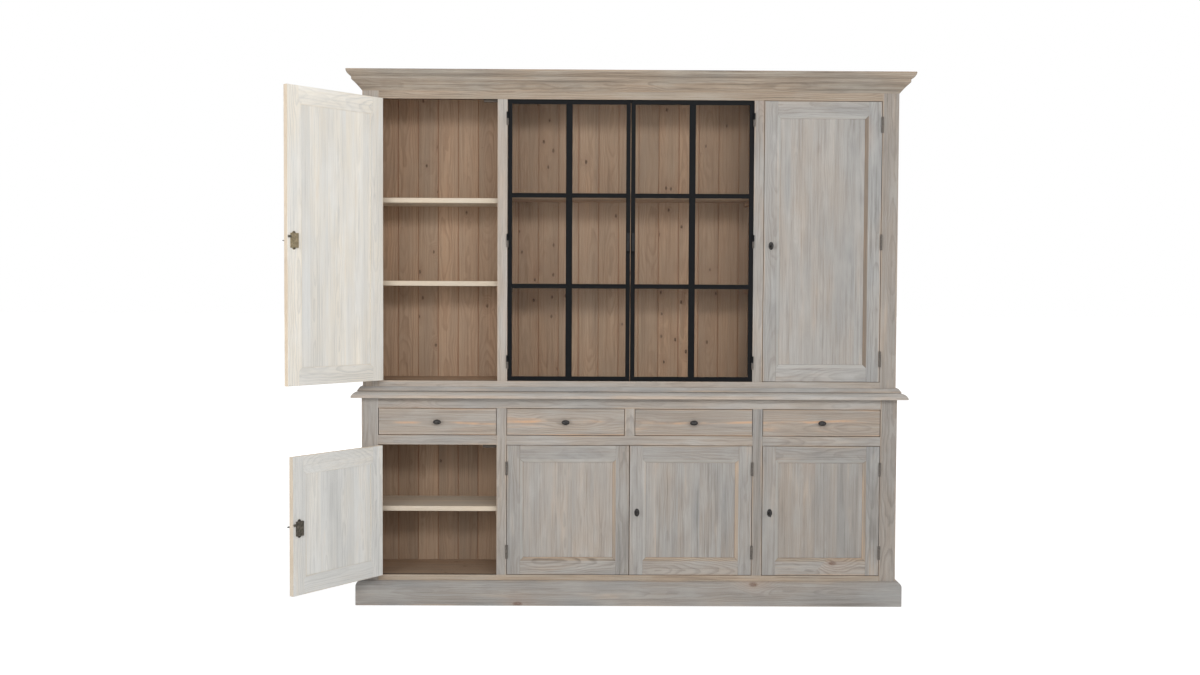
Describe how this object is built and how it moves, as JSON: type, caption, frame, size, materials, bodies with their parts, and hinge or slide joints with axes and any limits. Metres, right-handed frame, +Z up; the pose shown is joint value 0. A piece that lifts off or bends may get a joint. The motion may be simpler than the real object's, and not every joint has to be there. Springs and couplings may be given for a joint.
{
  "type": "hutch",
  "caption": "Wide wooden hutch with panelled cupboards and drawers below a worktop, and glazed steel-framed doors between panelled doors above, with locks and keys.",
  "frame": {"origin": "on the floor, midway along the width and midway through the lower cabinet's depth", "axes": "+X to the right as seen from the front, +Y to the back, +Z up; two doors stand open at rest"},
  "size_m": [2.5826, 0.7689, 2.256],
  "materials": {
    "pine_outside": "grey-beige wash",
    "pine_inside": "brown stain",
    "pine_shelf": "brown stain",
    "iron": "dark",
    "lock_steel": "aged",
    "black_steel": "matt black",
    "glass": "clear"
  },
  "bodies": {
    "carcass": {"plinth": "pine_outside", "lower_sides": "pine_outside", "lower_floor": "pine_inside", "lower_partitions": "pine_inside", "drawer_runners": "pine_inside", "lower_face_frame": "pine_outside", "lower_back_boards": "pine_inside", "worktop": "pine_outside", "base_moulding": "pine_outside", "upper_sides": "pine_outside", "upper_decks": "pine_inside", "upper_partitions": "pine_inside", "upper_face_frame": "pine_outside", "upper_back_boards": "pine_inside", "cornice": "pine_outside", "shelves": "pine_shelf", "shelf_cleats": "pine_inside", "door_stops": "pine_inside", "hinge_frame_halves": "iron"},
    "lower_door_1": {"lower_door_1_frame": "pine_outside", "lower_door_1_panel": "pine_outside", "lower_door_1_fittings": "iron"},
    "lower_door_1_key": {"lower_door_1_key": "lock_steel"},
    "lower_door_1_bolt": {"lower_door_1_bolt": "lock_steel"},
    "lower_door_2": {"lower_door_2_frame": "pine_outside", "lower_door_2_panel": "pine_outside", "lower_door_2_fittings": "iron"},
    "lower_door_3": {"lower_door_3_frame": "pine_outside", "lower_door_3_panel": "pine_outside", "lower_door_3_fittings": "iron"},
    "lower_door_3_key": {"lower_door_3_key": "lock_steel"},
    "lower_door_3_bolt": {"lower_door_3_bolt": "lock_steel"},
    "lower_door_4": {"lower_door_4_frame": "pine_outside", "lower_door_4_panel": "pine_outside", "lower_door_4_fittings": "iron"},
    "lower_door_4_key": {"lower_door_4_key": "lock_steel"},
    "lower_door_4_bolt": {"lower_door_4_bolt": "lock_steel"},
    "upper_left_door": {"upper_left_door_frame": "pine_outside", "upper_left_door_panel": "pine_outside", "upper_left_door_fittings": "iron"},
    "upper_left_door_key": {"upper_left_door_key": "lock_steel"},
    "upper_left_door_bolt": {"upper_left_door_bolt": "lock_steel"},
    "upper_right_door": {"upper_right_door_frame": "pine_outside", "upper_right_door_panel": "pine_outside", "upper_right_door_fittings": "iron"},
    "upper_right_door_key": {"upper_right_door_key": "lock_steel"},
    "upper_right_door_bolt": {"upper_right_door_bolt": "lock_steel"},
    "glass_door_left": {"glass_door_left_frame": "black_steel", "glass_door_left_panes": "glass"},
    "glass_door_right": {"glass_door_right_frame": "black_steel", "glass_door_right_panes": "glass"},
    "drawer_1": {"drawer_1": "pine_outside", "drawer_1_knob": "iron"},
    "drawer_2": {"drawer_2": "pine_outside", "drawer_2_knob": "iron"},
    "drawer_3": {"drawer_3": "pine_outside", "drawer_3_knob": "iron"},
    "drawer_4": {"drawer_4": "pine_outside", "drawer_4_knob": "iron"}
  },
  "joints": [
    {"name": "lower_door_1_swing", "type": "hinge", "parent": "carcass", "child": "lower_door_1", "pos_m": [-1.062, -0.17515, 0], "axis": [0, 0, -1], "range_deg": [-125.4, 44.6]},
    {"name": "lower_door_1_key_turn", "type": "hinge", "parent": "lower_door_1", "child": "lower_door_1_key", "pos_m": [-1.32775, -0.55798, 0.395], "axis": [0.8151, -0.5793, 0], "range_deg": [0, 180]},
    {"name": "lower_door_1_bolt_slide", "type": "slide", "parent": "lower_door_1", "child": "lower_door_1_bolt", "axis": [-0.5793, -0.8151, 0], "range_m": [0, 0.01]},
    {"name": "lower_door_2_swing", "type": "hinge", "parent": "carcass", "child": "lower_door_2", "pos_m": [-0.52, -0.17515, 0], "axis": [0, 0, -1], "range_deg": [0, 105]},
    {"name": "lower_door_3_swing", "type": "hinge", "parent": "carcass", "child": "lower_door_3", "pos_m": [0.52, -0.17515, 0], "axis": [0, 0, 1], "range_deg": [0, 105]},
    {"name": "lower_door_3_key_turn", "type": "hinge", "parent": "lower_door_3", "child": "lower_door_3_key", "pos_m": [0.0325, -0.17, 0.395], "axis": [0, -1, 0], "range_deg": [0, 180]},
    {"name": "lower_door_3_bolt_slide", "type": "slide", "parent": "lower_door_3", "child": "lower_door_3_bolt", "axis": [-1, 0, 0], "range_m": [0, 0.01]},
    {"name": "lower_door_4_swing", "type": "hinge", "parent": "carcass", "child": "lower_door_4", "pos_m": [1.062, -0.17515, 0], "axis": [0, 0, 1], "range_deg": [0, 170]},
    {"name": "lower_door_4_key_turn", "type": "hinge", "parent": "lower_door_4", "child": "lower_door_4_key", "pos_m": [0.596, -0.17, 0.395], "axis": [0, -1, 0], "range_deg": [0, 180]},
    {"name": "lower_door_4_bolt_slide", "type": "slide", "parent": "lower_door_4", "child": "lower_door_4_bolt", "axis": [-1, 0, 0], "range_m": [0, 0.01]},
    {"name": "upper_left_door_swing", "type": "hinge", "parent": "carcass", "child": "upper_left_door", "pos_m": [-1.062, -0.14515, 0], "axis": [0, 0, -1], "range_deg": [-129.5, 40.5]},
    {"name": "upper_left_door_key_turn", "type": "hinge", "parent": "upper_left_door", "child": "upper_left_door_key", "pos_m": [-1.35444, -0.508, 1.528], "axis": [0.7716, -0.6361, 0], "range_deg": [0, 180]},
    {"name": "upper_left_door_bolt_slide", "type": "slide", "parent": "upper_left_door", "child": "upper_left_door_bolt", "axis": [-0.6361, -0.7716, 0], "range_m": [0, 0.01]},
    {"name": "upper_right_door_swing", "type": "hinge", "parent": "carcass", "child": "upper_right_door", "pos_m": [1.062, -0.14515, 0], "axis": [0, 0, 1], "range_deg": [0, 170]},
    {"name": "upper_right_door_key_turn", "type": "hinge", "parent": "upper_right_door", "child": "upper_right_door_key", "pos_m": [0.596, -0.14, 1.528], "axis": [0, -1, 0], "range_deg": [0, 180]},
    {"name": "upper_right_door_bolt_slide", "type": "slide", "parent": "upper_right_door", "child": "upper_right_door_bolt", "axis": [-1, 0, 0], "range_m": [0, 0.01]},
    {"name": "glass_door_left_swing", "type": "hinge", "parent": "carcass", "child": "glass_door_left", "pos_m": [-0.52, -0.14515, 0], "axis": [0, 0, -1], "range_deg": [0, 110]},
    {"name": "glass_door_right_swing", "type": "hinge", "parent": "carcass", "child": "glass_door_right", "pos_m": [0.52, -0.14515, 0], "axis": [0, 0, 1], "range_deg": [0, 110]},
    {"name": "drawer_1_slide", "type": "slide", "parent": "carcass", "child": "drawer_1", "axis": [0, -1, 0], "range_m": [0, 0.23]},
    {"name": "drawer_2_slide", "type": "slide", "parent": "carcass", "child": "drawer_2", "axis": [0, -1, 0], "range_m": [0, 0.23]},
    {"name": "drawer_3_slide", "type": "slide", "parent": "carcass", "child": "drawer_3", "axis": [0, -1, 0], "range_m": [0, 0.23]},
    {"name": "drawer_4_slide", "type": "slide", "parent": "carcass", "child": "drawer_4", "axis": [0, -1, 0], "range_m": [0, 0.23]}
  ],
  "couplings": [
    {"joint": "lower_door_1_key_turn", "follows": "lower_door_1_bolt_slide", "rad_per_m": 314.16},
    {"joint": "lower_door_3_key_turn", "follows": "lower_door_3_bolt_slide", "rad_per_m": 314.16},
    {"joint": "lower_door_4_key_turn", "follows": "lower_door_4_bolt_slide", "rad_per_m": 314.16},
    {"joint": "upper_left_door_key_turn", "follows": "upper_left_door_bolt_slide", "rad_per_m": 314.16},
    {"joint": "upper_right_door_key_turn", "follows": "upper_right_door_bolt_slide", "rad_per_m": 314.16}
  ]
}
